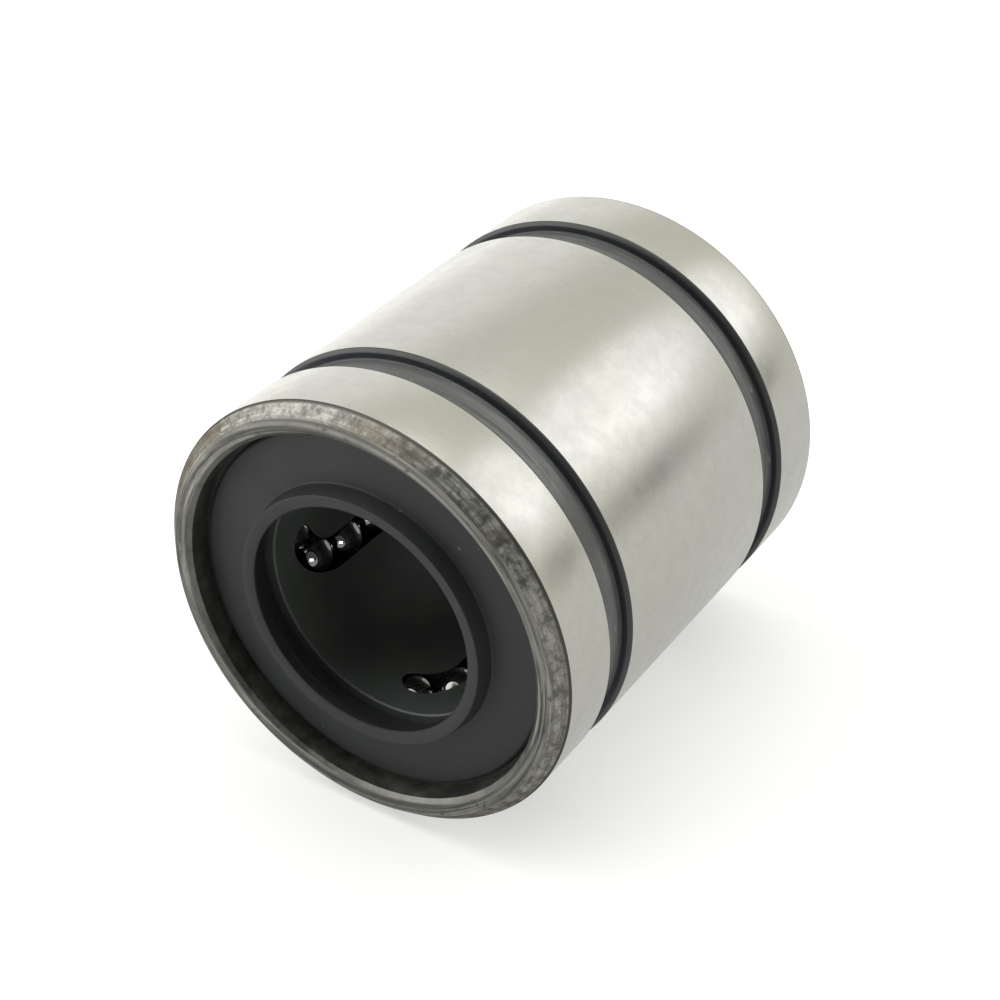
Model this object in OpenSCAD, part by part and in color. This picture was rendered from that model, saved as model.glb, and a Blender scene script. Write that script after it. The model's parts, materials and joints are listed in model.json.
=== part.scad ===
// Linear ball bushing: a ground steel sleeve round a moulded ball cage, with closed circuits of
// balls, two stop rings that hold the cage and a lip seal in each end.
// The bore axis is +Y with the front end at -Y, +Z is up, and the origin is the middle of the bore.
// All sizes are in millimetres and degrees.

/* [Shaft and balls] */
// Diameter of the shaft that runs in the bushing
shaft_d = 8; // [6:0.1:12]
// Diameter of each ball
ball_d = 1.5; // [1.2:0.05:1.85]
// Number of ball circuits round the bore
circuit_count = 4; // [3:1:4]
// Clock angle of the first loaded row, from +X towards +Z
row_clock = 19; // [0:1:89]
// How much further out the returning row runs than the loaded row
return_rise = 0.75; // [0.6:0.05:0.9]

/* [Sleeve] */
// Length of the sleeve along the bore
sleeve_len = 17; // [14:0.5:30]
// Wall of the sleeve outside its raceways
sleeve_wall = 1.975; // [1.6:0.005:3]
// Length of the outer chamfer at each end
chamfer_len = 0.45; // [0.2:0.05:0.8]
// Depth of the outer chamfer at each end
chamfer_depth = 0.42; // [0.2:0.02:0.46]
// Half the angle of each raceway on its flute side
race_half_angle = 6; // [4:0.5:6.5]
// Clear angle past each returning row in its flute
flute_margin = 10; // [9:0.5:14]

/* [Retaining ring grooves] */
// Distance between the outer walls of the two grooves
groove_span = 11.3; // [8:0.1:14]
// Width of each groove at its floor
groove_w = 1.1; // [0.8:0.05:1.4]
// Depth of each groove
groove_depth = 0.35; // [0.2:0.05:0.5]
// Edge break on the walls of each groove
groove_break = 0.11; // [0.02:0.01:0.15]

/* [Seals] */
// Depth of the seal's face behind the end of the sleeve
seal_recess = 0.75; // [0.5:0.05:1.2]
// Thickness of the seal's plate
seal_t = 0.35; // [0.25:0.05:0.6]
// Rounding of the plate's outer edge
seal_round = 0.22; // [0.1:0.02:0.24]
// Width of the raised lip ring round the bore
lip_w = 0.43; // [0.3:0.01:0.6]
// Depth of the lip ring's front behind the end of the sleeve
lip_recess = 0.12; // [0.05:0.01:0.4]
// Slope of the lip ring's front face towards the bore
lip_slope = 0.07; // [0:0.01:0.15]
// Length of the lip's land along the bore
lip_land = 0.36; // [0.2:0.02:0.4]
// Draft of the lip ring's outer wall down to the plate
lip_draft = 0.11; // [0.02:0.01:0.2]
// Thickness of the flexible neck between the lip ring and the plate
neck_t = 0.2; // [0.12:0.02:0.3]
// Length of the collar behind the plate, inside the stop ring
collar_len = 0.32; // [0.1:0.02:0.38]
// Wall of that collar
collar_wall = 0.35; // [0.2:0.05:0.5]

/* [Stop rings] */
// Thickness of each stop ring along the bore
ring_t = 0.4; // [0.4:0.05:0.7]
// Depth of the ring's groove below the seal's seat
ring_grip = 0.12; // [0.08:0.02:0.2]
// Clearance between each ring and the seal's collar
ring_play = 0.03; // [0.02:0.01:0.1]
// Width of the gap in each ring
ring_gap = 1.6; // [0.8:0.1:3]

/* [Cage] */
// Clearance between the cage's bore and the shaft
cage_play = 0.25; // [0.15:0.05:0.3]
// Wall between the ball tracks and each end of the cage
cage_end_wall = 0.7; // [0.5:0.05:1.5]
// Edge break at each end of the cage's bore
cage_break = 0.05; // [0.02:0.01:0.1]

/* [Fits] */
// Radial clearance between the loaded balls and the shaft
ball_play = 0.005; // [0.002:0.001:0.01]
// Radial clearance between the loaded balls and the raceways
race_play = 0.02; // [0.015:0.005:0.03]
// Radial clearance round each ball in its track
track_play = 0.03; // [0.02:0.005:0.05]
// Clearance between neighbouring balls in a turn
ball_gap = 0.02; // [0.015:0.005:0.05]
// Clearance between the returning balls and the floor of their flute
flute_play = 0.075; // [0.05:0.005:0.1]
// Radial clearance between the cage and the raceways
cage_fit = 0.025; // [0.02:0.005:0.05]
// Radial clearance between each seal lip and the shaft
lip_play = 0.02; // [0.01:0.005:0.05]
// Step from the flutes' floor out to the seal's seat
seat_step = 0.17; // [0.1:0.01:0.2]
// Bevel at the mouth of the seal's seat
mouth_bevel = 0.14; // [0.05:0.01:0.15]

/* [Hidden] */
$fn = 96;
eps = 0.01;

// Radii, from the shaft outwards
shaft_r = shaft_d / 2;
ball_r = ball_d / 2;
loaded_r = shaft_r + ball_play + ball_r;
return_r = loaded_r + return_rise;
race_r = loaded_r + ball_r + race_play;
flute_r = return_r + ball_r + flute_play;
outer_r = race_r + sleeve_wall;
seat_r = flute_r + seat_step;
ring_seat_r = seat_r + ring_grip;
cage_r = race_r - cage_fit;
cage_bore_r = shaft_r + cage_play;
lip_r = shaft_r + lip_play;
lip_outer_r = lip_r + lip_w;
neck_r = lip_outer_r + lip_draft;
collar_r = neck_r + collar_wall;
ring_bore_r = collar_r + ring_play;
track_r = ball_r + track_play;

// Stations along the bore, measured inwards from an end of the sleeve
seal_back = seal_recess + seal_t;
cage_start = seal_back + ring_t;
cage_len = sleeve_len - 2 * cage_start;

// One circuit: two straight rows joined by two half turns that hold three balls each
turn_balls = 3;
turn_r = ball_d + ball_gap;
ball_step = 180 / turn_balls;
pitch = PI * turn_r / turn_balls;
turn_reach = turn_r + track_r + cage_end_wall;
row_balls = floor((cage_len - 2 * turn_reach) / pitch);
row_len = row_balls * pitch;

// Angle between a loaded row and its returning row, from the chord that the turns span
return_angle = acos(
    (pow(loaded_r, 2) + pow(return_r, 2) - pow(2 * turn_r, 2)) / (2 * loaded_r * return_r)
);
chord_mid = [
    (loaded_r + return_r * cos(return_angle)) / 2, return_r * sin(return_angle) / 2, 0
];
chord_tilt = atan2(return_r * sin(return_angle), return_r * cos(return_angle) - loaded_r);
flute_angle = return_angle + flute_margin - race_half_angle;

steel = [0.74, 0.74, 0.71];
spring_steel = [0.5, 0.51, 0.52];
ball_steel = [0.85, 0.86, 0.87];
black_resin = [0.13, 0.14, 0.14];
black_rubber = [0.22, 0.23, 0.23];

CIRCUITS = [1:circuit_count];

// Turns a shape made round local Z, front end at -Z, so that it lies along +Y
module lie_along_bore() {
    rotate([-90, 0, 0]) children();
}

// Places a shape whose local z = 0 is an end of the sleeve and whose +Z points inwards
module at_front_end() {
    lie_along_bore() translate([0, 0, -sleeve_len / 2]) children();
}

module at_rear_end() {
    lie_along_bore() mirror([0, 0, 1]) translate([0, 0, -sleeve_len / 2]) children();
}

// Turns a shape from the first circuit's own clock angle to circuit i
module at_circuit(i) {
    rotate([0, 0, (i - 1) * 360 / circuit_count - row_clock]) children();
}

// Sleeve blank: the ground outside with its end chamfers
module sleeve_blank() {
    half_len = sleeve_len / 2;
    face_r = outer_r - chamfer_depth;
    rotate_extrude() polygon([
        [0, -half_len], [face_r, -half_len], [outer_r, -half_len + chamfer_len],
        [outer_r, half_len - chamfer_len], [face_r, half_len], [0, half_len]
    ]);
}

// One retaining ring groove, as the ring of metal that is turned away
module groove_cut() {
    floor_r = outer_r - groove_depth;
    wall_r = outer_r - groove_break;
    half_w = groove_w / 2;
    rotate_extrude() polygon([
        [floor_r, -half_w], [wall_r, -half_w], [outer_r + eps, -half_w - groove_break - eps],
        [outer_r + eps, half_w + groove_break + eps], [wall_r, half_w], [floor_r, half_w]
    ]);
}

// The relief beside a raceway, where the returning balls run
module flute_cut() {
    rotate([0, 0, race_half_angle]) rotate_extrude(angle = flute_angle)
        translate([loaded_r, -cage_len / 2]) square([flute_r - loaded_r, cage_len]);
}

// The seat at one end for the seal and the stop ring, with z = 0 at the sleeve's end
module end_seat_cut() {
    translate([0, 0, -eps]) cylinder(r = seat_r, h = cage_start + eps);
    translate([0, 0, seal_back]) cylinder(r = ring_seat_r, h = ring_t);
    translate([0, 0, -eps])
        cylinder(r1 = seat_r + mouth_bevel + eps, r2 = seat_r, h = mouth_bevel + eps);
}

module outer_sleeve() {
    color(steel) difference() {
        lie_along_bore() sleeve_blank();
        lie_along_bore() cylinder(r = race_r, h = sleeve_len, center = true);
        lie_along_bore() for (i = CIRCUITS) at_circuit(i) flute_cut();
        lie_along_bore() for (side = [-1, 1])
            translate([0, 0, side * (groove_span - groove_w) / 2]) groove_cut();
        at_front_end() end_seat_cut();
        at_rear_end() end_seat_cut();
    }
}

// Stop ring: an open steel ring that snaps into its groove and holds the cage
module stop_ring() {
    difference() {
        translate([0, 0, seal_back]) cylinder(r = ring_seat_r, h = ring_t);
        translate([0, 0, seal_back - eps]) cylinder(r = ring_bore_r, h = ring_t + 2 * eps);
        translate([0, -ring_gap / 2, seal_back - eps])
            cube([ring_seat_r + eps, ring_gap, ring_t + 2 * eps]);
    }
}

// Section of the seal's plate, with its front outer edge rounded
module plate_section() {
    round_x = seat_r - seal_round;
    difference() {
        translate([neck_r, seal_recess]) square([seat_r - neck_r, seal_t]);
        difference() {
            translate([round_x, seal_recess - eps]) square(seal_round + eps);
            translate([round_x, seal_recess + seal_round]) circle(r = seal_round);
        }
    }
}

// Section of the raised lip ring and its neck, out to the plate's inner edge
module lip_section() {
    land_start = lip_recess + lip_slope;
    polygon([
        [lip_r, land_start], [lip_outer_r, lip_recess], [neck_r, seal_recess],
        [neck_r, seal_recess + neck_t], [lip_r, land_start + lip_land]
    ]);
}

// Seal: a moulded plate with a raised lip ring round the bore and a collar behind it
module lip_seal() {
    rotate_extrude() union() {
        plate_section();
        lip_section();
        translate([neck_r, seal_back - eps]) square([collar_wall, collar_len + eps]);
    }
}

// Places a shape in circuit i's flat plane: local X runs from the loaded row, at -turn_r, out to
// the returning row, at turn_r, and local Z runs along the bore
module in_circuit(i) {
    at_circuit(i) translate(chord_mid) rotate([0, 0, chord_tilt]) children();
}

// The closed track of one circuit in the cage
module ball_track() {
    for (side = [-1, 1])
        translate([side * turn_r, 0, 0]) cylinder(r = track_r, h = row_len, center = true);
    for (side = [0, 1]) mirror([0, 0, side])
        translate([0, 0, row_len / 2]) rotate([90, 0, 0]) rotate_extrude(angle = 180)
            translate([turn_r, 0]) circle(r = track_r);
}

module ball_cage() {
    color(black_resin) lie_along_bore() difference() {
        cylinder(r = cage_r, h = cage_len, center = true);
        cylinder(r = cage_bore_r, h = cage_len + 2 * eps, center = true);
        for (side = [0, 1]) mirror([0, 0, side])
            translate([0, 0, cage_len / 2 - cage_break])
                cylinder(
                    r1 = cage_bore_r, r2 = cage_bore_r + cage_break + eps, h = cage_break + eps
                );
        for (i = CIRCUITS) in_circuit(i) ball_track();
    }
}

// The balls of one straight row, half a pitch clear of each end of the straight
module ball_row() {
    for (k = [1:row_balls]) translate([0, 0, (k - 0.5) * pitch - row_len / 2]) sphere(r = ball_r);
}

// The balls of one half turn, past the end of the rows at +Z
module ball_turn() {
    translate([0, 0, row_len / 2])
        for (k = [1:turn_balls]) rotate([0, -(k - 0.5) * ball_step, 0])
            translate([turn_r, 0, 0]) sphere(r = ball_r);
}

module loaded_balls(i) {
    color(ball_steel) lie_along_bore() in_circuit(i) translate([-turn_r, 0, 0]) ball_row();
}

module return_balls(i) {
    color(ball_steel) lie_along_bore() in_circuit(i) translate([turn_r, 0, 0]) ball_row();
}

module front_turn_balls(i) {
    color(ball_steel) lie_along_bore() in_circuit(i) mirror([0, 0, 1]) ball_turn();
}

module rear_turn_balls(i) {
    color(ball_steel) lie_along_bore() in_circuit(i) ball_turn();
}

module front_stop_ring() {
    color(spring_steel) at_front_end() stop_ring();
}

module rear_stop_ring() {
    color(spring_steel) at_rear_end() stop_ring();
}

module front_seal() {
    color(black_rubber) at_front_end() lip_seal();
}

module rear_seal() {
    color(black_rubber) at_rear_end() lip_seal();
}

outer_sleeve();
ball_cage();
front_stop_ring();
rear_stop_ring();
front_seal();
rear_seal();
for (i = CIRCUITS) loaded_balls(i);
for (i = CIRCUITS) return_balls(i);
for (i = CIRCUITS) front_turn_balls(i);
for (i = CIRCUITS) rear_turn_balls(i);
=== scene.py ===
"""Finished surfaces of a linear ball bushing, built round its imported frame."""

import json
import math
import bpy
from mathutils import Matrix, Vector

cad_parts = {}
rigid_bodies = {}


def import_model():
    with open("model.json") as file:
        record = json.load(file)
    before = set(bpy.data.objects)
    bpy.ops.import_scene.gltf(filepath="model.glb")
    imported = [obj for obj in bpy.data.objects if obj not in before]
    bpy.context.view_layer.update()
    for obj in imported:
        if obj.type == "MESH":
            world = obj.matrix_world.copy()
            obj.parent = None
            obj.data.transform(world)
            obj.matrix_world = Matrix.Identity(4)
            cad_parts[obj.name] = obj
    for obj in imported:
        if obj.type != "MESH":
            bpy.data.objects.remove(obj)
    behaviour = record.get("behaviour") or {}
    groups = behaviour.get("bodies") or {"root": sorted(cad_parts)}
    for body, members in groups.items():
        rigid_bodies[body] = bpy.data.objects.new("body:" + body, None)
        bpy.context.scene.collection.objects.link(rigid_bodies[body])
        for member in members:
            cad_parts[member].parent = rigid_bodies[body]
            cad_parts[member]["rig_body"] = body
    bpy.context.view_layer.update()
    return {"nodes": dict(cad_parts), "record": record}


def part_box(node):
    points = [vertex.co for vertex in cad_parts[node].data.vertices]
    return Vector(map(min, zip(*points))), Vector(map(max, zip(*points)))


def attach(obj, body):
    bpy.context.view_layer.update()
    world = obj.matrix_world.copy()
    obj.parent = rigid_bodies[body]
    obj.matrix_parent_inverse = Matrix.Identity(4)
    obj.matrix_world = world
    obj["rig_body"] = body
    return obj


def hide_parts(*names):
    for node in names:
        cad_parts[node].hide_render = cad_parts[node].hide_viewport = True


bl_info = {
    "name": "Linear ball bushing",
    "version": (1, 0, 0),
    "blender": (4, 5, 0),
    "location": "3D View > Sidebar > Bushing",
    "description": "Models and finishes the sleeve, seals and balls of a linear ball bushing",
    "category": "Object",
}

import bmesh
import bpy
from bpy.props import FloatProperty, FloatVectorProperty, IntProperty, PointerProperty
from bpy.types import Operator, Panel, PropertyGroup
from mathutils import Vector

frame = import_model()

MM = 0.001
# How far apart two corners may lie and still be the same, and vertices that are merged into one
SAME_PLACE = 2e-7
MERGE_DISTANCE = 1e-7
# Facets across a rounded edge, across the round rim of a seal, along the sweep of a flute, and
# round a ball and down it
EDGE_SEGMENTS = 3
RIM_SEGMENTS = 6
FLUTE_STEPS = 24
BALL_SEGMENTS, BALL_RINGS = 32, 20
# Faces that meet at less than this are shaded as one
SMOOTH_ANGLE = math.radians(30)
HOUSING = "housing"
ENDS = {"front": -1, "rear": 1}
BALL_PREFIX = "polished_"
BALL_GROUPS = ("loaded_balls", "return_balls", "front_turn_balls", "rear_turn_balls")

# Sizes that the frame states, in metres
mounts = {mount["name"]: mount for mount in frame["record"]["mounts"]}
half_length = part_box("outer_sleeve")[1].y
outer_radius = mounts["housing_seat"]["dims"]["r_mm"] * MM
chamfer_length = half_length - mounts["housing_seat"]["dims"]["length_mm"] * MM / 2
groove_place = mounts["rear_ring_groove"]["pos_m"][1]
groove_half_width = mounts["rear_ring_groove"]["dims"]["length_mm"] * MM / 2
groove_floor = mounts["rear_ring_groove"]["dims"]["r_mm"] * MM
lip_radius = mounts["shaft_bore"]["dims"]["r_mm"] * MM
lip_start = half_length - mounts["shaft_bore"]["dims"]["length_mm"] * MM / 2
seat_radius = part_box("rear_seal")[1].x
ring_seat_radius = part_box("rear_stop_ring")[1].z
ring_front = half_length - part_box("rear_stop_ring")[1].y
ring_back = half_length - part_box("rear_stop_ring")[0].y
lip_front = half_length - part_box("rear_seal")[1].y
seal_rear = half_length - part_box("rear_seal")[0].y
ball_radius = (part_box("loaded_balls_1")[1].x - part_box("loaded_balls_1")[0].x) / 2


class BushingSleeveSizes(PropertyGroup):
    chamfer_depth: FloatProperty(
        name="Chamfer depth", description="Depth of the outer chamfer at each end",
        default=0.42 * MM, unit="LENGTH", precision=5,
    )
    mouth_bevel: FloatProperty(
        name="Mouth bevel", description="Bevel at the mouth of each seal's seat",
        default=0.14 * MM, unit="LENGTH", precision=5,
    )
    groove_break: FloatProperty(
        name="Groove edge break", description="Broken edge on the walls of the ring grooves",
        default=0.11 * MM, unit="LENGTH", precision=5,
    )
    race_radius: FloatProperty(
        name="Raceway radius", description="Radius of the ground raceways in the sleeve",
        default=5.525 * MM, unit="LENGTH", precision=5,
    )
    flute_radius: FloatProperty(
        name="Flute radius", description="Radius of the flutes' floor, for the returning balls",
        default=6.33 * MM, unit="LENGTH", precision=5,
    )
    race_half_angle: FloatProperty(
        name="Raceway half angle", description="Angle from a loaded row to the edge of its flute",
        default=math.radians(6), subtype="ANGLE",
    )
    flute_margin: FloatProperty(
        name="Flute margin", description="Clear angle past each returning row in its flute",
        default=math.radians(10), subtype="ANGLE",
    )
    edge_round: FloatProperty(
        name="Edge rounding", description="Rounding of the sleeve's machined edges",
        default=0.035 * MM, unit="LENGTH", precision=5,
    )
    segments: IntProperty(
        name="Segments", description="Facets round the sleeve", default=256, min=96, max=360,
    )


class BushingSealSizes(PropertyGroup):
    face_depth: FloatProperty(
        name="Face depth", description="Depth of the seal's plate behind the end of the sleeve",
        default=0.75 * MM, unit="LENGTH", precision=5,
    )
    lip_width: FloatProperty(
        name="Lip width", description="Width of the raised lip ring's front",
        default=0.43 * MM, unit="LENGTH", precision=5,
    )
    lip_draft: FloatProperty(
        name="Lip draft", description="How much the lip ring widens down to the plate",
        default=0.11 * MM, unit="LENGTH", precision=5,
    )
    lip_land: FloatProperty(
        name="Lip land", description="Length of the lip along the bore",
        default=0.36 * MM, unit="LENGTH", precision=5,
    )
    neck: FloatProperty(
        name="Neck", description="Thickness of the flexible neck under the lip ring",
        default=0.2 * MM, unit="LENGTH", precision=5,
    )
    collar_wall: FloatProperty(
        name="Collar wall", description="Wall of the collar behind the plate",
        default=0.35 * MM, unit="LENGTH", precision=5,
    )
    rim_round: FloatProperty(
        name="Rim rounding", description="Rounding of the plate's outer edge",
        default=0.16 * MM, unit="LENGTH", precision=5,
    )
    rim_gap: FloatProperty(
        name="Rim gap", description="Gap between the plate's rim and the sleeve",
        default=0.13 * MM, unit="LENGTH", precision=5,
    )
    gap_depth: FloatProperty(
        name="Gap depth", description="How far the gap goes down behind the plate's face",
        default=0.16 * MM, unit="LENGTH", precision=5,
    )
    edge_round: FloatProperty(
        name="Edge rounding", description="Rounding of the moulded edges",
        default=0.03 * MM, unit="LENGTH", precision=5,
    )
    segments: IntProperty(
        name="Segments", description="Facets round each seal", default=192, min=96, max=360,
    )


class BushingFinish(PropertyGroup):
    steel: FloatVectorProperty(
        name="Ground steel", description="Colour of the ground outside",
        default=(0.62, 0.615, 0.585), subtype="COLOR", size=3, min=0, max=1,
    )
    steel_roughness: FloatProperty(
        name="Steel roughness", description="Roughness of the ground outside",
        default=0.24, min=0, max=1, subtype="FACTOR",
    )
    groove_steel: FloatVectorProperty(
        name="Groove steel", description="Colour of the heat-darkened ring grooves",
        default=(0.15, 0.156, 0.152), subtype="COLOR", size=3, min=0, max=1,
    )
    chamfer_steel: FloatVectorProperty(
        name="Chamfer steel", description="Colour of the turned chamfers and end faces",
        default=(0.30, 0.295, 0.27), subtype="COLOR", size=3, min=0, max=1,
    )
    rubber: FloatVectorProperty(
        name="Seal rubber", description="Colour of the seals",
        default=(0.019, 0.0222, 0.0218), subtype="COLOR", size=3, min=0, max=1,
    )
    resin: FloatVectorProperty(
        name="Cage resin", description="Colour of the ball cage",
        default=(0.066, 0.073, 0.069), subtype="COLOR", size=3, min=0, max=1,
    )
    # The balls' colour is darkened with painted shade of the bore they sit in
    ball: FloatVectorProperty(
        name="Ball steel", description="Colour of the polished balls",
        default=(0.27, 0.275, 0.27), subtype="COLOR", size=3, min=0, max=1,
    )


class BushingStudio(PropertyGroup):
    view_azimuth: FloatProperty(
        name="View azimuth", description="Camera's turn round the bushing from the front end",
        default=math.radians(32.55), subtype="ANGLE",
    )
    view_elevation: FloatProperty(
        name="View elevation", description="Camera's height above the bushing",
        default=math.radians(34.2), subtype="ANGLE",
    )
    view_distance: FloatProperty(
        name="View distance", description="Distance from the camera to the bushing's middle",
        default=68.37 * MM, unit="LENGTH", precision=4,
    )
    lens: FloatProperty(
        name="Lens", description="Focal length in millimetres on a 36 mm sensor", default=73.27,
    )
    floor_size: FloatProperty(
        name="Floor size", description="Side of the pale floor", default=3.0, unit="LENGTH",
    )


def deselect_all():
    if bpy.context.mode != "OBJECT":
        bpy.ops.object.mode_set(mode="OBJECT")
    bpy.ops.object.select_all(action="DESELECT")


def make_active(piece):
    deselect_all()
    piece.select_set(True)
    bpy.context.view_layer.objects.active = piece


def mirrored(corners):
    """The same (place along the bore, radius) corners at the other end."""
    return [(-place, radius) for place, radius in corners]


def turned_ring(name, section, segments):
    """A ring round the bore, lathed from its closed section of (place along the bore, radius)."""
    deselect_all()
    place, radius = section[0]
    bpy.ops.mesh.primitive_circle_add(
        vertices=segments, radius=radius, location=(0, place, 0), rotation=(math.pi / 2, 0, 0)
    )
    ring = bpy.context.object
    ring.name = ring.data.name = name
    bpy.ops.object.transform_apply(location=True, rotation=True, scale=True)
    bpy.ops.object.mode_set(mode="EDIT")
    bpy.ops.mesh.select_all(action="SELECT")
    for next_place, next_radius in section[1:] + section[:1]:
        bpy.ops.mesh.extrude_region_move(
            TRANSFORM_OT_translate={"value": (0, next_place - place, 0)}
        )
        share = next_radius / radius
        bpy.ops.transform.resize(value=(share, 1, share), center_override=(0, next_place, 0))
        place, radius = next_place, next_radius
    bpy.ops.mesh.select_all(action="SELECT")
    bpy.ops.mesh.remove_doubles(threshold=MERGE_DISTANCE)
    bpy.ops.mesh.normals_make_consistent(inside=False)
    bpy.ops.object.mode_set(mode="OBJECT")
    return ring


def round_corners(ring, corners, width, segments):
    """Bevels the edge loops that stand at these (place, radius) corners of a turned ring."""
    make_active(ring)
    bpy.ops.object.mode_set(mode="EDIT")
    bpy.ops.mesh.select_mode(type="EDGE")
    bpy.ops.mesh.select_all(action="DESELECT")
    shape = bmesh.from_edit_mesh(ring.data)
    found = 0
    for edge in shape.edges:
        ends = [(v.co.y, math.hypot(v.co.x, v.co.z)) for v in edge.verts]
        if any(
            all(abs(y - place) < SAME_PLACE and abs(r - radius) < SAME_PLACE for y, r in ends)
            for place, radius in corners
        ):
            edge.select_set(True)
            found += 1
    bmesh.update_edit_mesh(ring.data)
    if found == 0:
        raise RuntimeError(f"{ring.name} has no edge loop at {corners}")
    bpy.ops.mesh.bevel(offset=width, segments=segments, affect="EDGES", clamp_overlap=True)
    bpy.ops.object.mode_set(mode="OBJECT")


def cut_away(piece, cutter):
    """Takes the cutter's shape out of the piece, and removes the cutter."""
    make_active(piece)
    cut = piece.modifiers.new("cut", "BOOLEAN")
    cut.operation = "DIFFERENCE"
    cut.solver = "EXACT"
    cut.object = cutter
    bpy.ops.object.modifier_apply(modifier=cut.name)
    bpy.data.objects.remove(cutter)


def smooth(piece):
    make_active(piece)
    bpy.ops.object.shade_smooth_by_angle(angle=SMOOTH_ANGLE)


def finish_piece(piece, body, nodes, materials):
    """Gives a piece its materials and its body, and hides the nodes it stands for."""
    for material in materials:
        piece.data.materials.append(material)
    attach(piece, body)
    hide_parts(*nodes)


# Finishes -----------------------------------------------------------------------------------

# Sockets of a Mix node that mixes colours
SHARE, COLOUR_A, COLOUR_B, MIXED = 0, 6, 7, 2
# How far over or under the grooves' floor still counts as their floor
FLOOR_BAND = 0.05 * MM
# Where the painted shade on the rim of a chamfer begins and is full, under the outside
SHADED_RIM_BEGINS, SHADED_RIM_FULL = 0.08 * MM, 0.03 * MM
# How far turned rings wander off their centre
RING_SWAY = (0.035, 0.0, 0.035)
# From the lip's edge outwards: the edge darkened by oil and by painted shade, and the step from the
# lip ring to the plate
OILED_AND_SHADED_EDGE = (0.02 * MM, 0.07 * MM)
PLATE_EDGE = (0.40 * MM, 0.55 * MM)
# Tone of the turned faces and of the stop rings against the chamfer's
TURNED_TONE = 0.68
SPRING_TONE = 0.58


class Finish:
    """A material under construction: one Principled shader and the nodes that feed it."""

    def __init__(self, name, **values):
        self.material = bpy.data.materials.new(name)
        self.material.use_nodes = True
        self.nodes = self.material.node_tree.nodes
        self.links = self.material.node_tree.links
        self.shader = self.nodes["Principled BSDF"]
        for socket, value in values.items():
            self.shader.inputs[socket.replace("_", " ")].default_value = value
        self.place = self.nodes.new("ShaderNodeTexCoord").outputs["Object"]

    def stretched(self, scale):
        mapping = self.nodes.new("ShaderNodeMapping")
        mapping.inputs["Scale"].default_value = scale
        self.links.new(self.place, mapping.inputs["Vector"])
        return mapping.outputs["Vector"]

    def noise(self, scale, detail=4.0, roughness=0.55, stretch=None, distortion=0.0, along=None):
        node = self.nodes.new("ShaderNodeTexNoise")
        node.inputs["Scale"].default_value = scale
        node.inputs["Detail"].default_value = detail
        node.inputs["Roughness"].default_value = roughness
        node.inputs["Distortion"].default_value = distortion
        source = self.stretched(stretch) if stretch else along or self.place
        self.links.new(source, node.inputs["Vector"])
        return node.outputs["Fac"]

    def math(self, operation, first, second=0.0, clamp=False):
        node = self.nodes.new("ShaderNodeMath")
        node.operation = operation
        node.use_clamp = clamp
        for socket, value in zip(node.inputs, (first, second)):
            if isinstance(value, (int, float)):
                socket.default_value = value
            else:
                self.links.new(value, socket)
        return node.outputs["Value"]

    def ramp(self, source, low, high, at_low=0.0, at_high=1.0):
        node = self.nodes.new("ShaderNodeMapRange")
        node.interpolation_type = "SMOOTHSTEP"
        for socket, value in zip(
            ("From Min", "From Max", "To Min", "To Max"), (low, high, at_low, at_high)
        ):
            node.inputs[socket].default_value = value
        self.links.new(source, node.inputs["Value"])
        return node.outputs["Result"]

    def mix(self, share, first, second):
        """A colour between two colours, each a tuple or a socket."""
        node = self.nodes.new("ShaderNodeMix")
        node.data_type = "RGBA"
        self.links.new(share, node.inputs[SHARE])
        for socket, value in ((node.inputs[COLOUR_A], first), (node.inputs[COLOUR_B], second)):
            if isinstance(value, tuple):
                socket.default_value = (*value, 1.0)
            else:
                self.links.new(value, socket)
        return node.outputs[MIXED]

    def coordinate(self, axis):
        node = self.nodes.new("ShaderNodeSeparateXYZ")
        self.links.new(self.place, node.inputs["Vector"])
        return node.outputs[axis]

    def radius(self):
        """The distance from the bore's axis."""
        x, z = self.coordinate("X"), self.coordinate("Z")
        square = self.math("ADD", self.math("MULTIPLY", x, x), self.math("MULTIPLY", z, z))
        return self.math("SQRT", square)

    def bump(self, *layers):
        """Adds (height socket, depth in metres) layers one on another."""
        normal = None
        for height, depth in layers:
            node = self.nodes.new("ShaderNodeBump")
            node.inputs["Distance"].default_value = depth
            self.links.new(height, node.inputs["Height"])
            if normal is not None:
                self.links.new(normal, node.inputs["Normal"])
            normal = node.outputs["Normal"]
        self.links.new(normal, self.shader.inputs["Normal"])

    def feed(self, socket, source):
        self.links.new(source, self.shader.inputs[socket])


def shade(colour, factor):
    return tuple(min(1.0, channel * factor) for channel in colour)


def ground_steel(look):
    """Centreless-ground bearing steel: soft peel, fine grain, clouds and a few handling marks."""
    colour = tuple(look.steel)
    steel = Finish("ground_steel", Metallic=1.0)
    clouds = steel.noise(170, detail=5, roughness=0.6)
    peel = steel.noise(1500, detail=5, roughness=0.65)
    rings = steel.noise(70, detail=6, roughness=0.7, stretch=(1, 60, 1))
    grain = steel.noise(5200, detail=3)
    scratches = steel.noise(900, detail=2, stretch=(1, 10, 3), distortion=1.5)
    scratch = steel.ramp(scratches, 0.70, 0.74)
    warm = (colour[0], colour[1] * 0.985, colour[2] * 0.93)
    tone = steel.mix(steel.ramp(clouds, 0.35, 0.7), colour, warm)
    tone = steel.mix(steel.ramp(peel, 0.36, 0.68, 0.0, 0.55), tone, shade(colour, 0.9))
    tone = steel.mix(steel.ramp(grain, 0.35, 0.75, 0.0, 0.3), tone, shade(colour, 0.88))
    steel.feed("Base Color", steel.mix(scratch, tone, shade(colour, 1.1)))
    wear = steel.math("ADD", steel.ramp(clouds, 0.3, 0.75, -0.015, 0.02), look.steel_roughness)
    wear = steel.math("ADD", wear, steel.ramp(peel, 0.3, 0.7, -0.025, 0.035))
    steel.feed("Roughness", steel.math("ADD", wear, steel.ramp(scratch, 0, 1, 0, 0.1), True))
    steel.bump((rings, 0.7e-6), (grain, 0.7e-6), (peel, 1.3e-6), (clouds, 2e-6))
    return steel.material


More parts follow.
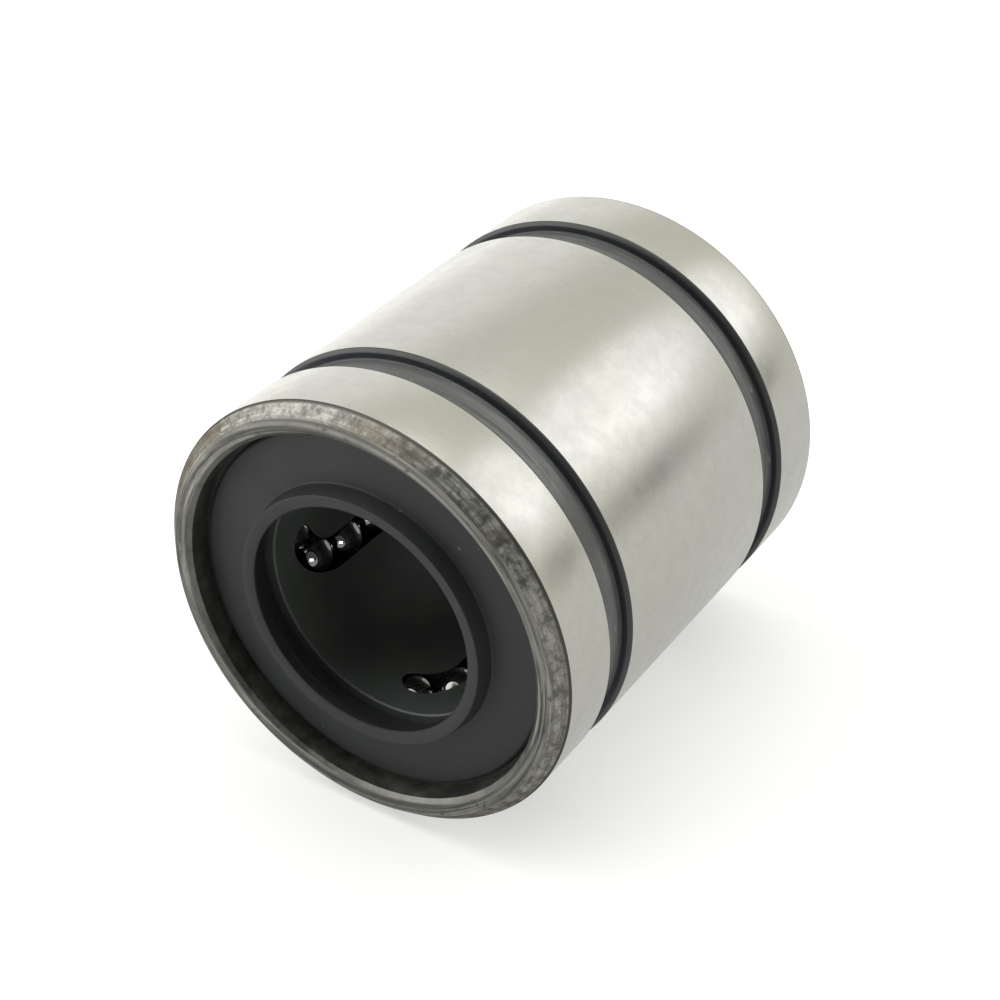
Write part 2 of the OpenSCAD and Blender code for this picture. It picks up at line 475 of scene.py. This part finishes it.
def groove_steel(look):
    """Turned groove left dark by heat treatment: grey rings on its floor, and walls and corners
    darkened to blue-black by heat tint and painted shade.
    """
    colour = tuple(look.groove_steel)
    steel = Finish("groove_steel", Metallic=0.4)
    across = steel.math("SUBTRACT", steel.math("ABSOLUTE", steel.coordinate("Y")), groove_place)
    across = steel.math("ABSOLUTE", across)
    # The walls and the corners of the groove get painted shade
    shaded_corner = steel.ramp(across, groove_half_width * 0.86, groove_half_width)
    rings = steel.noise(5200, detail=4, roughness=0.7, stretch=(0.05, 1, 0.05))
    grain = steel.noise(4200, detail=4, roughness=0.65)
    patches = steel.noise(260, detail=4, roughness=0.55)
    flecks = steel.ramp(steel.noise(2600, detail=3, stretch=(0.5, 1, 0.5)), 0.66, 0.74)
    floor = steel.mix(steel.ramp(rings, 0.36, 0.66), shade(colour, 0.62), shade(colour, 1.4))
    floor = steel.mix(steel.ramp(patches, 0.35, 0.7), floor, shade(colour, 0.78))
    floor = steel.mix(steel.math("MULTIPLY", flecks, 0.6), floor, shade(colour, 2.6))
    # Heat tint and painted shade on the walls: blue-black at the floor, lighter towards the top
    blue = (colour[0] * 0.22, colour[1] * 0.23, colour[2] * 0.30)
    height = steel.ramp(steel.radius(), groove_floor + FLOOR_BAND, outer_radius)
    wall = steel.mix(height, blue, shade(colour, 0.36))
    steel.feed("Base Color", steel.mix(shaded_corner, floor, wall))
    steel.feed("Roughness", steel.ramp(grain, 0.3, 0.7, 0.32, 0.44))
    steel.bump((grain, 3e-6), (rings, 3e-6))
    return steel.material


def polar(finish):
    """The radius and the place along the bore, a little swayed, for a pattern of rings."""
    join = finish.nodes.new("ShaderNodeCombineXYZ")
    for socket, value in ((0, finish.radius()), (1, finish.coordinate("Y"))):
        finish.links.new(value, join.inputs[socket])
    sway = finish.nodes.new("ShaderNodeVectorMath")
    sway.operation = "MULTIPLY_ADD"
    finish.links.new(finish.place, sway.inputs[0])
    sway.inputs[1].default_value = RING_SWAY
    finish.links.new(join.outputs["Vector"], sway.inputs[2])
    return sway.outputs["Vector"]


def chamfer_steel(look):
    """Turned and heat-treated chamfer: grey and brown, in rings that break up here and there."""
    colour = tuple(look.chamfer_steel)
    steel = Finish(
        "chamfer_steel",
        Metallic=0.85, Specular_Tint=(0.34, 0.33, 0.31, 1.0), Specular_IOR_Level=0.15,
    )
    rings = steel.noise(7000, detail=4, roughness=0.7, along=polar(steel))
    mottle = steel.noise(2600, detail=6, roughness=0.75)
    spots = steel.noise(420, detail=4, roughness=0.6)
    grain = steel.noise(9000, detail=2)
    brown = (colour[0] * 0.62, colour[1] * 0.51, colour[2] * 0.41)
    tone = steel.mix(steel.ramp(mottle, 0.36, 0.64), shade(colour, 0.48), shade(colour, 1.55))
    tone = steel.mix(steel.ramp(rings, 0.42, 0.64, 0.0, 0.75), tone, shade(colour, 0.42))
    tone = steel.mix(steel.ramp(spots, 0.52, 0.68, 0.0, 0.6), tone, brown)
    tone = steel.mix(steel.ramp(grain, 0.6, 0.8, 0.0, 0.5), tone, shade(colour, 1.8))
    # A dark line of painted shade round the chamfer's outer rim
    rim = steel.ramp(steel.radius(), outer_radius - SHADED_RIM_BEGINS, outer_radius - SHADED_RIM_FULL)
    steel.feed("Base Color", steel.mix(rim, tone, shade(colour, 0.3)))
    steel.feed("Roughness", steel.ramp(mottle, 0.3, 0.7, 0.36, 0.55))
    steel.bump((rings, 4e-6), (mottle, 6e-6), (grain, 1.5e-6))
    return steel.material


def face_steel(look):
    """Turned end face and mouth: lighter, with fine rings and nicks."""
    colour = shade(tuple(look.chamfer_steel), TURNED_TONE)
    steel = Finish("face_steel", Metallic=0.8)
    rings = steel.noise(9000, detail=4, roughness=0.7, along=polar(steel))
    nicks = steel.noise(2400, detail=4, roughness=0.65)
    patches = steel.noise(500, detail=4)
    tone = steel.mix(steel.ramp(rings, 0.36, 0.64), shade(colour, 0.3), shade(colour, 1.75))
    tone = steel.mix(steel.ramp(patches, 0.35, 0.7, 0.0, 0.6), tone, shade(colour, 0.7))
    steel.feed("Base Color", steel.mix(steel.ramp(nicks, 0.58, 0.74), tone, shade(colour, 0.45)))
    steel.feed("Roughness", steel.ramp(nicks, 0.3, 0.7, 0.32, 0.5))
    steel.bump((rings, 5e-6), (nicks, 6e-6))
    return steel.material


def seat_steel(look):
    """Turned inside of the sleeve, dull and dark with oil."""
    colour = shade(tuple(look.chamfer_steel), TURNED_TONE)
    steel = Finish("seat_steel", Metallic=0.9)
    mottle = steel.noise(1500, detail=5, roughness=0.7)
    tool = steel.noise(160, detail=3, stretch=(1, 45, 1))
    steel.feed("Base Color", steel.mix(steel.ramp(mottle, 0.35, 0.7), shade(colour, 0.6), colour))
    steel.feed("Roughness", steel.ramp(mottle, 0.3, 0.7, 0.3, 0.5))
    steel.bump((tool, 4e-6), (mottle, 3e-6))
    return steel.material


def seal_rubber(look):
    """Moulded charcoal rubber: faint bloom and dust, a paler lip ring and a bore edge darkened by
    oil and by painted shade.
    """
    colour = tuple(look.rubber)
    rubber = Finish("seal_rubber", Metallic=0.0, IOR=1.5)
    bloom = rubber.noise(330, detail=5, roughness=0.6)
    mould = rubber.noise(6500, detail=3)
    dust = rubber.ramp(rubber.noise(3100, detail=2, roughness=0.4), 0.74, 0.79)
    radius = rubber.radius()
    oil = rubber.ramp(radius, *(lip_radius + reach for reach in OILED_AND_SHADED_EDGE), 1.0, 0.0)
    plate = rubber.ramp(radius, *(lip_radius + reach for reach in PLATE_EDGE))
    tone = rubber.mix(rubber.ramp(bloom, 0.32, 0.72), shade(colour, 0.86), shade(colour, 1.16))
    tone = rubber.mix(plate, rubber.mix(bloom, shade(colour, 0.9), shade(colour, 1.1)), tone)
    # Oil and painted shade darken the lip's bore edge
    tone = rubber.mix(oil, tone, shade(colour, 0.25))
    rubber.feed("Base Color", rubber.mix(dust, tone, (0.14, 0.14, 0.13)))
    rubber.feed("Roughness", rubber.ramp(bloom, 0.3, 0.7, 0.5, 0.62))
    rubber.bump((bloom, 1.2e-5), (mould, 1.6e-6))
    return rubber.material


def cage_resin(look):
    """Moulded black resin with a thin film of oil."""
    colour = tuple(look.resin)
    resin = Finish("cage_resin", Metallic=0.0, IOR=1.5)
    flow = resin.noise(280, detail=4, roughness=0.55)
    grain = resin.noise(7000, detail=2)
    tone = resin.mix(resin.ramp(flow, 0.3, 0.7), shade(colour, 0.8), shade(colour, 1.25))
    resin.feed("Base Color", tone)
    resin.feed("Roughness", resin.ramp(flow, 0.3, 0.7, 0.32, 0.48))
    resin.bump((flow, 6e-6), (grain, 1e-6))
    return resin.material


def ball_steel(look):
    """Polished bearing balls with the faintest haze of use, their colour darkened with painted
    shade of the bore.
    """
    colour = tuple(look.ball)
    steel = Finish("ball_steel", Metallic=1.0)
    haze = steel.noise(900, detail=4)
    steel.feed("Base Color", steel.mix(steel.ramp(haze, 0.3, 0.7), colour, shade(colour, 0.93)))
    steel.feed("Roughness", steel.ramp(haze, 0.3, 0.75, 0.03, 0.07))
    steel.bump((haze, 8e-7))
    return steel.material


def spring_steel(look):
    """Hardened spring steel of the stop rings, dull grey with rolled streaks."""
    colour = shade(tuple(look.chamfer_steel), SPRING_TONE)
    steel = Finish("spring_steel", Metallic=0.95)
    streaks = steel.noise(300, detail=5, stretch=(1, 30, 1))
    steel.feed("Base Color", steel.mix(steel.ramp(streaks, 0.3, 0.7), shade(colour, 0.75), colour))
    steel.feed("Roughness", steel.ramp(streaks, 0.3, 0.7, 0.3, 0.46))
    steel.bump((streaks, 3e-6))
    return steel.material


def card(name, colours, glow):
    """Matte card of the studio's floor, lit a little from behind."""
    paper = Finish(name, Metallic=0.0, Emission_Color=(1.0, 1.0, 0.98, 1.0), Emission_Strength=glow)
    paper.material.cycles.emission_sampling = "NONE"
    fibre = paper.noise(900, detail=4)
    paper.feed("Base Color", paper.mix(fibre, *colours))
    paper.feed("Roughness", paper.ramp(fibre, 0.3, 0.7, 0.8, 0.9))
    return paper.material


# Operators ----------------------------------------------------------------------------------

# The sleeve's materials, by their place in its list
GROUND, GROOVE, CHAMFER, END_FACE, SEAT = range(5)
# A face counts as slanted, and as an end face, when its normal points this much along the bore
SLANT = 0.08
FACES_END = 0.9
# Slack round the places that part one finish from the next
TINY = 0.01 * MM


class BUSHING_OT_sleeve(Operator):
    """Model the grooved steel sleeve with its raceways and flutes"""

    bl_idname = "bushing.sleeve"
    bl_label = "Sleeve"

    def execute(self, context):
        sizes, look = context.scene.bushing_sleeve, context.scene.bushing_finish
        face_radius = outer_radius - sizes.chamfer_depth
        wall_top = outer_radius - sizes.groove_break
        mouth_radius = seat_radius + sizes.mouth_bevel
        inner_wall = groove_place - groove_half_width
        outer_wall = groove_place + groove_half_width
        # The rear end's corners: its outside from the middle outwards, then back inside
        near_edge = [(inner_wall - sizes.groove_break, outer_radius), (inner_wall, wall_top)]
        roots = [(inner_wall, groove_floor), (outer_wall, groove_floor)]
        far_edge = [(outer_wall, wall_top), (outer_wall + sizes.groove_break, outer_radius)]
        chamfer = [(half_length - chamfer_length, outer_radius), (half_length, face_radius)]
        mouth = (half_length, mouth_radius)
        rear = [
            *near_edge, *roots, *far_edge, *chamfer, mouth,
            (half_length - sizes.mouth_bevel, seat_radius),
            (half_length - ring_front, seat_radius), (half_length - ring_front, ring_seat_radius),
            (half_length - ring_back, ring_seat_radius),
            (half_length - ring_back, sizes.race_radius),
        ]
        sleeve = turned_ring("sleeve", rear + mirrored(reversed(rear)), sizes.segments)
        sharp = [*near_edge, *far_edge, *chamfer, mouth]
        round_corners(sleeve, sharp + mirrored(sharp), sizes.edge_round, EDGE_SEGMENTS)
        round_corners(sleeve, roots + mirrored(roots), sizes.edge_round * 2, EDGE_SEGMENTS)
        for index in range(1, self.circuits() + 1):
            cut_away(sleeve, self.flute_cutter(sizes, index))
        self.assign_finishes(sleeve, sizes.groove_break)
        smooth(sleeve)
        finishes = [
            ground_steel(look), groove_steel(look), chamfer_steel(look), face_steel(look),
            seat_steel(look),
        ]
        finish_piece(sleeve, HOUSING, ["outer_sleeve"], finishes)
        return {"FINISHED"}

    @staticmethod
    def circuits():
        return sum(name.startswith("loaded_balls_") for name in frame["nodes"])

    @staticmethod
    def flute_cutter(sizes, index):
        """The relief beside one raceway: a flat section spun round the bore."""
        loaded = middle_of(f"loaded_balls_{index}")
        returning = middle_of(f"return_balls_{index}")
        start = math.atan2(loaded.z, loaded.x)
        turn = math.atan2(returning.z, returning.x) - start
        turn = (turn + math.pi) % (2 * math.pi) - math.pi
        side = math.copysign(1, turn)
        inner = sizes.race_radius - ball_radius
        half = half_length - ring_back
        deselect_all()
        bpy.ops.mesh.primitive_plane_add(size=1, location=((inner + sizes.flute_radius) / 2, 0, 0))
        cutter = bpy.context.object
        cutter.scale = (sizes.flute_radius - inner, 2 * half, 1)
        bpy.ops.object.transform_apply(location=True, rotation=True, scale=True)
        cutter.rotation_euler = (0, -(start + side * sizes.race_half_angle), 0)
        bpy.ops.object.transform_apply(location=True, rotation=True, scale=True)
        bpy.ops.object.mode_set(mode="EDIT")
        bpy.ops.mesh.select_all(action="SELECT")
        sweep = abs(turn) + sizes.flute_margin - sizes.race_half_angle
        # The spin turns against the right-hand rule, so this axis leads to the returning row
        bpy.ops.mesh.spin(
            steps=FLUTE_STEPS, angle=sweep, center=(0, 0, 0), axis=(0, side, 0), dupli=False
        )
        bpy.ops.mesh.select_all(action="SELECT")
        bpy.ops.mesh.normals_make_consistent(inside=False)
        bpy.ops.object.mode_set(mode="OBJECT")
        return cutter

    @staticmethod
    def assign_finishes(sleeve, groove_break):
        """Picks each face's finish by where it lies on the sleeve."""
        for face in sleeve.data.polygons:
            place, radius = abs(face.center.y), math.hypot(face.center.x, face.center.z)
            outward = face.normal.x * face.center.x + face.normal.z * face.center.z > 0
            across = abs(place - groove_place) - groove_half_width
            slanted = abs(face.normal.y) > SLANT or radius < outer_radius - TINY
            if radius > groove_floor - TINY and across < groove_break + TINY and slanted:
                face.material_index = GROOVE
            elif abs(face.normal.y) > FACES_END and radius > seat_radius:
                face.material_index = END_FACE
            elif abs(face.normal.y) > SLANT and outward and radius > seat_radius:
                face.material_index = CHAMFER
            elif radius < groove_floor - FLOOR_BAND:
                face.material_index = SEAT
            else:
                face.material_index = GROUND


def middle_of(node):
    low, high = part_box(node)
    return (low + high) / 2


class BUSHING_OT_seals(Operator):
    """Model the two lip seals"""

    bl_idname = "bushing.seals"
    bl_label = "Seals"

    def execute(self, context):
        sizes, look = context.scene.bushing_seal, context.scene.bushing_finish
        rubber = seal_rubber(look)
        lip_outer = lip_radius + sizes.lip_width
        neck_radius = lip_outer + sizes.lip_draft
        collar_radius = neck_radius + sizes.collar_wall
        rim_radius = seat_radius - sizes.rim_gap
        gap_floor = sizes.face_depth + sizes.gap_depth
        # Corners as (depth from the end, radius), from the lip outwards and back behind it
        lip_edge, lip_rim = (lip_start, lip_radius), (lip_front, lip_outer)
        neck_root, plate_rim = (sizes.face_depth, neck_radius), (sizes.face_depth, rim_radius)
        collar_end = [(seal_rear, collar_radius), (seal_rear, neck_radius)]
        lip_back = (lip_start + sizes.lip_land, lip_radius)
        outline = [
            lip_edge, lip_rim, neck_root, plate_rim, (gap_floor, rim_radius),
            (gap_floor, seat_radius), (ring_front, seat_radius), (ring_front, collar_radius),
            *collar_end, (sizes.face_depth + sizes.neck, neck_radius), lip_back,
        ]
        edges = [lip_edge, lip_rim, *collar_end, lip_back]
        for end, side in ENDS.items():
            seal = turned_ring(f"{end}_lip_seal", self.at_end(side, outline), sizes.segments)
            for corners, width, segments in (
                ([plate_rim], sizes.rim_round, RIM_SEGMENTS),
                ([neck_root], sizes.edge_round * 2, EDGE_SEGMENTS),
                (edges, sizes.edge_round, EDGE_SEGMENTS),
            ):
                round_corners(seal, self.at_end(side, corners), width, segments)
            smooth(seal)
            finish_piece(seal, HOUSING, [f"{end}_seal"], [rubber])
        return {"FINISHED"}

    @staticmethod
    def at_end(side, corners):
        """(Depth from the end, radius) corners as (place along the bore, radius)."""
        return [(side * (half_length - depth), radius) for depth, radius in corners]


class BUSHING_OT_balls(Operator):
    """Model the balls of every circuit"""

    bl_idname = "bushing.balls"
    bl_label = "Balls"

    def execute(self, context):
        steel = ball_steel(context.scene.bushing_finish)
        for node in sorted(frame["nodes"]):
            group, _, index = node.rpartition("_")
            if group in BALL_GROUPS:
                centres = ball_centres(frame["nodes"][node])
                balls = self.ball_group(node, centres)
                body = frame["nodes"][node]["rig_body"]
                finish_piece(balls, body, [node], [steel])
        return {"FINISHED"}

    @staticmethod
    def ball_group(node, centres):
        """Balls at these centres, as one mesh of separate spheres."""
        made = []
        for centre in centres:
            deselect_all()
            bpy.ops.mesh.primitive_uv_sphere_add(
                segments=BALL_SEGMENTS, ring_count=BALL_RINGS, radius=ball_radius, location=centre
            )
            bpy.ops.object.transform_apply(location=True, rotation=True, scale=True)
            bpy.ops.object.shade_smooth()
            made.append(bpy.context.object)
        for ball in made:
            ball.select_set(True)
        bpy.ops.object.join()
        balls = bpy.context.object
        balls.name = balls.data.name = BALL_PREFIX + node
        make_active(balls)
        bpy.ops.object.origin_set(type="ORIGIN_CURSOR")
        return balls


def ball_centres(node):
    """The middle of each loose ball in a node of the frame."""
    shape = bmesh.new()
    shape.from_mesh(node.data)
    bmesh.ops.remove_doubles(shape, verts=shape.verts, dist=MERGE_DISTANCE)
    left, centres = set(shape.verts), []
    while left:
        island, reached = set(), [left.pop()]
        while reached:
            vertex = reached.pop()
            island.add(vertex)
            for edge in vertex.link_edges:
                other = edge.other_vert(vertex)
                if other in left:
                    left.discard(other)
                    reached.append(other)
        low = Vector(min(v.co[axis] for v in island) for axis in range(3))
        high = Vector(max(v.co[axis] for v in island) for axis in range(3))
        centres.append((low + high) / 2)
    shape.free()
    return sorted(centres, key=lambda centre: (round(centre.y, 6), round(centre.x, 6)))


class BUSHING_OT_kept_nodes(Operator):
    """Finish the cage and the stop rings, whose shapes the frame already has"""

    bl_idname = "bushing.kept_nodes"
    bl_label = "Cage and stop rings"

    def execute(self, context):
        look = context.scene.bushing_finish
        resin, spring = cage_resin(look), spring_steel(look)
        for name, material in (
            ("ball_cage", resin), ("front_stop_ring", spring), ("rear_stop_ring", spring)
        ):
            node = frame["nodes"][name]
            node.data.materials.clear()
            node.data.materials.append(material)
        return {"FINISHED"}


# The two tones of the floor and of the grey card that reflections see, and how much each glows
FLOOR_CARD = ((0.62, 0.62, 0.617), (0.65, 0.65, 0.647))
GREY_CARD = ((0.15, 0.15, 0.145), (0.17, 0.17, 0.165))
CARD_GLOW = 0.52
FLOOR_GLOW = 0.46
# How far the grey card reaches past the middle, and how high it lies over the floor
CARD_REACH = 15 * MM
CARD_LIFT = 0.02 * MM
# The lamp on the balls: its place and size in metres and its power in watts
LAMP_PLACE = (0.30, -0.40, 0.02)
LAMP_SIZE = 0.16
LAMP_POWER = 0.8
# The point that the camera looks at, its sensor's width in millimetres and its clip distances
LOOK_AT = (0, -0.18 * MM, -0.11 * MM)
SENSOR_WIDTH = 36
CLIP_START, CLIP_END = 1 * MM, 10
# The room's own colour, the backdrop that the camera sees instead, and the room's panels: the
# way to each, the angles of its even core and of its outer edge in degrees, how it joins the
# rest, and its colour
ROOM = (0.74, 0.735, 0.66, 1.0)
BACKDROP = (1.0, 1.0, 0.99, 1.0)
PANELS = (
    ((0.43, 0.70, 0.57), 10, 19, "ADD", (0.72, 0.73, 0.80)),
    ((0.60, 0.70, 0.38), 5, 16, "ADD", (0.40, 0.41, 0.45)),
    ((-0.70, 0.70, 0.16), 12, 36, "ADD", (0.30, 0.31, 0.35)),
    ((0.0, 0.0, 1.0), 20, 38, "ADD", (1.6, 1.6, 1.65)),
    ((0.71, 0.70, 0.10), 2, 10, "MULTIPLY", (0.42, 0.42, 0.44)),
    ((0.40, -0.80, 0.45), 26, 62, "MULTIPLY", (0.22, 0.23, 0.24)),
    ((-0.80, -0.42, 0.40), 24, 40, "ADD", (1.7, 1.7, 1.7)),
)


class BUSHING_OT_stage(Operator):
    """Set the pale floor, the soft studio lights and the camera"""

    bl_idname = "bushing.stage"
    bl_label = "Stage"

    def execute(self, context):
        studio = context.scene.bushing_studio
        deselect_all()
        bpy.ops.mesh.primitive_plane_add(
            size=studio.floor_size, location=(0, 0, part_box("outer_sleeve")[0].z)
        )
        floor = bpy.context.object
        floor.name = floor.data.name = "floor"
        floor.data.materials.append(card("floor_card", FLOOR_CARD, FLOOR_GLOW))
        self.reflected_card(studio)
        self.sky(context.scene)
        self.ball_lamp()
        self.camera(context.scene, studio)
        return {"FINISHED"}

    @staticmethod
    def reflected_card(studio):
        """A softly lit grey card over the right of the floor, which only reflections see."""
        deselect_all()
        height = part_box("outer_sleeve")[0].z + CARD_LIFT
        size = studio.floor_size
        bpy.ops.mesh.primitive_plane_add(size=size, location=(size / 2 - CARD_REACH, 0, height))
        grey = bpy.context.object
        grey.name = grey.data.name = "reflected_card"
        grey.data.materials.append(card("grey_card", GREY_CARD, CARD_GLOW))
        for ray in ("camera", "diffuse", "transmission", "volume_scatter", "shadow"):
            setattr(grey, f"visible_{ray}", False)

    @staticmethod
    def sky(scene):
        """Soft studio surround: a warm-grey room with broad panels that fade at their edges.

        The camera itself sees a plain white backdrop instead.
        """
        world = bpy.data.worlds.new("studio")
        scene.world = world
        world.use_nodes = True
        nodes, links = world.node_tree.nodes, world.node_tree.links
        way = nodes.new("ShaderNodeTexCoord").outputs["Generated"]
        room = None
        for toward, core, edge, blend, colour in PANELS:
            facing = nodes.new("ShaderNodeVectorMath")
            facing.operation = "DOT_PRODUCT"
            links.new(way, facing.inputs[0])
            facing.inputs[1].default_value = Vector(toward).normalized()
            fade = nodes.new("ShaderNodeMapRange")
            fade.interpolation_type = "SMOOTHSTEP"
            fade.inputs["From Min"].default_value = math.cos(math.radians(edge))
            fade.inputs["From Max"].default_value = math.cos(math.radians(core))
            links.new(facing.outputs["Value"], fade.inputs["Value"])
            mix = nodes.new("ShaderNodeMix")
            mix.data_type, mix.blend_type = "RGBA", blend
            links.new(fade.outputs["Result"], mix.inputs[SHARE])
            if room is None:
                mix.inputs[COLOUR_A].default_value = ROOM
            else:
                links.new(room, mix.inputs[COLOUR_A])
            mix.inputs[COLOUR_B].default_value = (*colour, 1.0)
            room = mix.outputs[MIXED]
        backdrop = nodes.new("ShaderNodeMix")
        backdrop.data_type = "RGBA"
        seen = nodes.new("ShaderNodeLightPath").outputs["Is Camera Ray"]
        links.new(seen, backdrop.inputs[SHARE])
        links.new(room, backdrop.inputs[COLOUR_A])
        backdrop.inputs[COLOUR_B].default_value = BACKDROP
        links.new(backdrop.outputs[MIXED], nodes["Background"].inputs["Color"])

    @staticmethod
    def ball_lamp():
        """A lamp that shines into the front of the bore and lights only the balls."""
        place = Vector(LAMP_PLACE)
        deselect_all()
        bpy.ops.object.light_add(type="AREA", location=place)
        lamp = bpy.context.object
        lamp.name = lamp.data.name = "ball_lamp"
        lamp.rotation_euler = place.to_track_quat("Z", "Y").to_euler()
        lamp.data.size = LAMP_SIZE
        lamp.data.energy = LAMP_POWER
        lamp.visible_camera = False
        lit = bpy.data.collections.new("lit_by_ball_lamp")
        for piece in bpy.data.objects:
            if piece.name.startswith(BALL_PREFIX):
                lit.objects.link(piece)
        lamp.light_linking.receiver_collection = lit

    @staticmethod
    def camera(scene, studio):
        turn, rise = studio.view_azimuth, studio.view_elevation
        back = Vector((
            math.sin(turn) * math.cos(rise), -math.cos(turn) * math.cos(rise), math.sin(rise)
        ))
        target = Vector(LOOK_AT)
        deselect_all()
        bpy.ops.object.camera_add(location=target + back * studio.view_distance)
        camera = bpy.context.object
        camera.name = camera.data.name = "camera"
        camera.rotation_euler = back.to_track_quat("Z", "Y").to_euler()
        camera.data.sensor_width = SENSOR_WIDTH
        camera.data.lens = studio.lens
        camera.data.clip_start, camera.data.clip_end = CLIP_START, CLIP_END
        scene.camera = camera
        scene.view_settings.view_transform = "Standard"


class BUSHING_PT_tools(Panel):
    bl_idname = "BUSHING_PT_tools"
    bl_label = "Linear ball bushing"
    bl_space_type = "VIEW_3D"
    bl_region_type = "UI"
    bl_category = "Bushing"

    def draw(self, context):
        for operator in OPERATORS:
            self.layout.operator(operator.bl_idname)
        for group in PROPERTIES:
            settings = getattr(context.scene, group)
            for name in settings.bl_rna.properties.keys():
                if name not in ("rna_type", "name"):
                    self.layout.prop(settings, name)


OPERATORS = (
    BUSHING_OT_sleeve, BUSHING_OT_seals, BUSHING_OT_balls, BUSHING_OT_kept_nodes, BUSHING_OT_stage,
)
PROPERTIES = {
    "bushing_sleeve": BushingSleeveSizes,
    "bushing_seal": BushingSealSizes,
    "bushing_finish": BushingFinish,
    "bushing_studio": BushingStudio,
}


def register():
    for group, kind in PROPERTIES.items():
        bpy.utils.register_class(kind)
        setattr(bpy.types.Scene, group, PointerProperty(type=kind))
    for kind in (*OPERATORS, BUSHING_PT_tools):
        bpy.utils.register_class(kind)


def unregister():
    for kind in (BUSHING_PT_tools, *reversed(OPERATORS)):
        bpy.utils.unregister_class(kind)
    for group, kind in PROPERTIES.items():
        delattr(bpy.types.Scene, group)
        bpy.utils.unregister_class(kind)


def main():
    register()
    bpy.ops.bushing.sleeve()
    bpy.ops.bushing.seals()
    bpy.ops.bushing.balls()
    bpy.ops.bushing.kept_nodes()
    bpy.ops.bushing.stage()
    deselect_all()


if __name__ == "__main__":
    main()
